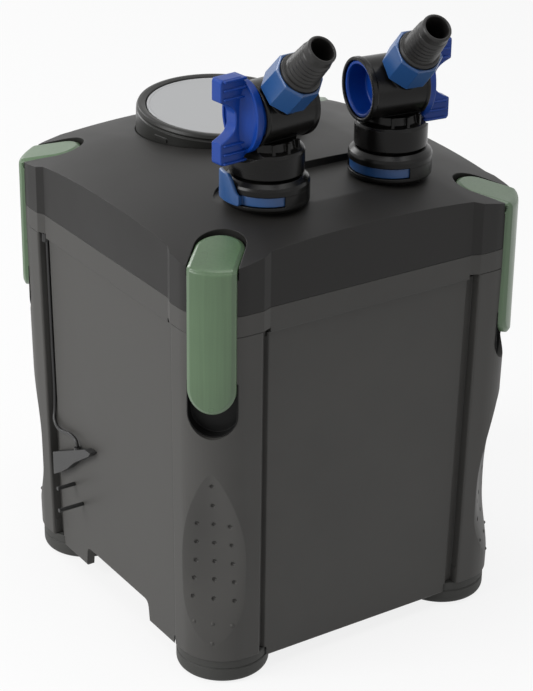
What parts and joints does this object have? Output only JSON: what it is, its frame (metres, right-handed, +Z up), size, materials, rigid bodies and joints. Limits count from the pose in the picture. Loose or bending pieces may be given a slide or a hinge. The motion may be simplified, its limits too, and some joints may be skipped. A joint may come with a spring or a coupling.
{
  "type": "canister filter",
  "caption": "Aquarium canister filter: a square tub on feet, crowned head with corner latches, push primer, impeller pump, media baskets and swivel taps with valve handles and angled hose tails",
  "frame": {"origin": "middle of the base, level with the undersides of the feet", "axes": "+Z up, -Y towards the front that the hose tails point to, +X to the right seen from the front"},
  "size_m": [0.2526, 0.2484, 0.4101],
  "materials": {
    "tub_plastic": "dark grey moulded plastic, satin",
    "foot_rubber": "dark grey rubber",
    "band_plastic": "mid grey moulded plastic",
    "head_plastic": "charcoal moulded plastic, satin",
    "seal_rubber": "black rubber",
    "latch_plastic": "grey-green moulded plastic, satin",
    "pin_steel": "bright steel",
    "bezel_plastic": "dark grey moulded plastic",
    "inner_plastic": "black moulded plastic",
    "disc_foil": "silver foil disc, brushed",
    "tap_plastic": "black moulded plastic, glossy",
    "lever_plastic": "steel-blue moulded plastic",
    "handle_plastic": "bright blue moulded plastic, glossy",
    "tail_plastic": "black moulded plastic",
    "impeller_plastic": "blue moulded plastic with a magnet inside",
    "shaft_ceramic": "off-white ceramic",
    "basket_plastic": "dark grey moulded plastic",
    "media_foam": "coarse dark filter foam",
    "media_rings": "bed of ceramic rings",
    "media_floss": "white filter floss",
    "gland_rubber": "black rubber",
    "lead_pvc": "black soft PVC",
    "clip_plastic": "black moulded plastic"
  },
  "bodies": {
    "tub": {"container": "tub_plastic", "column_front_left": "tub_plastic", "column_front_right": "tub_plastic", "column_rear_right": "tub_plastic", "column_rear_left": "tub_plastic", "foot_front_left": "foot_rubber", "foot_front_right": "foot_rubber", "foot_rear_right": "foot_rubber", "foot_rear_left": "foot_rubber", "head_base": "band_plastic", "head_shell": "head_plastic", "head_gasket": "seal_rubber", "latch_pin_front_left": "pin_steel", "latch_pin_front_right": "pin_steel", "latch_pin_rear_right": "pin_steel", "latch_pin_rear_left": "pin_steel", "primer_bezel": "bezel_plastic", "primer_spring": "pin_steel", "tap_collar_left": "tap_plastic", "tap_collar_right": "tap_plastic", "tap_body_left": "tap_plastic", "tap_body_right": "tap_plastic", "spigot_seal_left": "seal_rubber", "spigot_seal_right": "seal_rubber", "hose_tail_left": "tail_plastic", "hose_tail_right": "tail_plastic", "motor_housing": "inner_plastic", "impeller_shaft": "shaft_ceramic", "impeller_cover": "inner_plastic", "inlet_tube": "inner_plastic", "basket_lower": "basket_plastic", "basket_middle": "basket_plastic", "basket_upper": "basket_plastic", "media_lower": "media_foam", "media_middle": "media_rings", "media_upper": "media_floss", "lead_gland": "gland_rubber", "lead": "lead_pvc", "lead_clip": "clip_plastic", "lead_peg_upper": "clip_plastic", "lead_peg_lower": "clip_plastic"},
    "latch_front_left": {"latch_front_left": "latch_plastic"},
    "latch_front_right": {"latch_front_right": "latch_plastic"},
    "latch_rear_right": {"latch_rear_right": "latch_plastic"},
    "latch_rear_left": {"latch_rear_left": "latch_plastic"},
    "primer": {"primer_button": "inner_plastic", "primer_disc": "disc_foil", "primer_piston": "inner_plastic", "primer_seal": "seal_rubber"},
    "lock_ring_left": {"lock_ring_left": "lever_plastic"},
    "lock_ring_right": {"lock_ring_right": "lever_plastic"},
    "valve_plug_left": {"valve_plug_left": "handle_plastic"},
    "valve_plug_right": {"valve_plug_right": "handle_plastic"},
    "hose_nut_left": {"hose_nut_left": "lever_plastic"},
    "hose_nut_right": {"hose_nut_right": "lever_plastic"},
    "impeller": {"impeller": "impeller_plastic"}
  },
  "joints": [
    {"name": "latch_front_left_swing", "type": "hinge", "parent": "tub", "child": "latch_front_left", "pos_m": [-0.09849, -0.10099, 0.283], "axis": [-0.7071, 0.7071, 0], "range_deg": [0, 95]},
    {"name": "latch_front_right_swing", "type": "hinge", "parent": "tub", "child": "latch_front_right", "pos_m": [0.09849, -0.10099, 0.283], "axis": [-0.7071, -0.7071, 0], "range_deg": [0, 95]},
    {"name": "latch_rear_right_swing", "type": "hinge", "parent": "tub", "child": "latch_rear_right", "pos_m": [0.09849, 0.10099, 0.283], "axis": [0.7071, -0.7071, 0], "range_deg": [0, 95]},
    {"name": "latch_rear_left_swing", "type": "hinge", "parent": "tub", "child": "latch_rear_left", "pos_m": [-0.09849, 0.10099, 0.283], "axis": [0.7071, 0.7071, 0], "range_deg": [0, 95]},
    {"name": "primer_push", "type": "slide", "parent": "tub", "child": "primer", "axis": [0, 0.0593, -0.9982], "range_m": [0, 0.008], "stiffness_N_per_m": 400, "springref_m": -0.01, "deforming": ["primer_spring"]},
    {"name": "lock_ring_left_turn", "type": "hinge", "parent": "tub", "child": "lock_ring_left", "pos_m": [-0.0454, -0.071, 0.3066], "axis": [0, 0, 1], "range_deg": [0, 20]},
    {"name": "lock_ring_right_turn", "type": "hinge", "parent": "tub", "child": "lock_ring_right", "pos_m": [0.0454, -0.071, 0.3066], "axis": [0, 0, 1], "range_deg": [0, 20]},
    {"name": "valve_left_turn", "type": "hinge", "parent": "tub", "child": "valve_plug_left", "pos_m": [-0.0454, -0.071, 0.3556], "axis": [0.9945, 0.1045, 0], "range_deg": [0, 90]},
    {"name": "valve_right_turn", "type": "hinge", "parent": "tub", "child": "valve_plug_right", "pos_m": [0.0454, -0.071, 0.3556], "axis": [0.9945, -0.1045, 0], "range_deg": [0, 90]},
    {"name": "hose_nut_left_turn", "type": "hinge", "parent": "tub", "child": "hose_nut_left", "pos_m": [-0.0454, -0.071, 0.3556], "axis": [0.0734, -0.6983, 0.712], "range_deg": [0, 90]},
    {"name": "hose_nut_right_turn", "type": "hinge", "parent": "tub", "child": "hose_nut_right", "pos_m": [0.0454, -0.071, 0.3556], "axis": [-0.0734, -0.6983, 0.712], "range_deg": [0, 90]},
    {"name": "impeller_spin", "type": "hinge", "parent": "tub", "child": "impeller", "pos_m": [0, 0.04, 0.25], "axis": [0, 0, 1], "continuous": true}
  ]
}
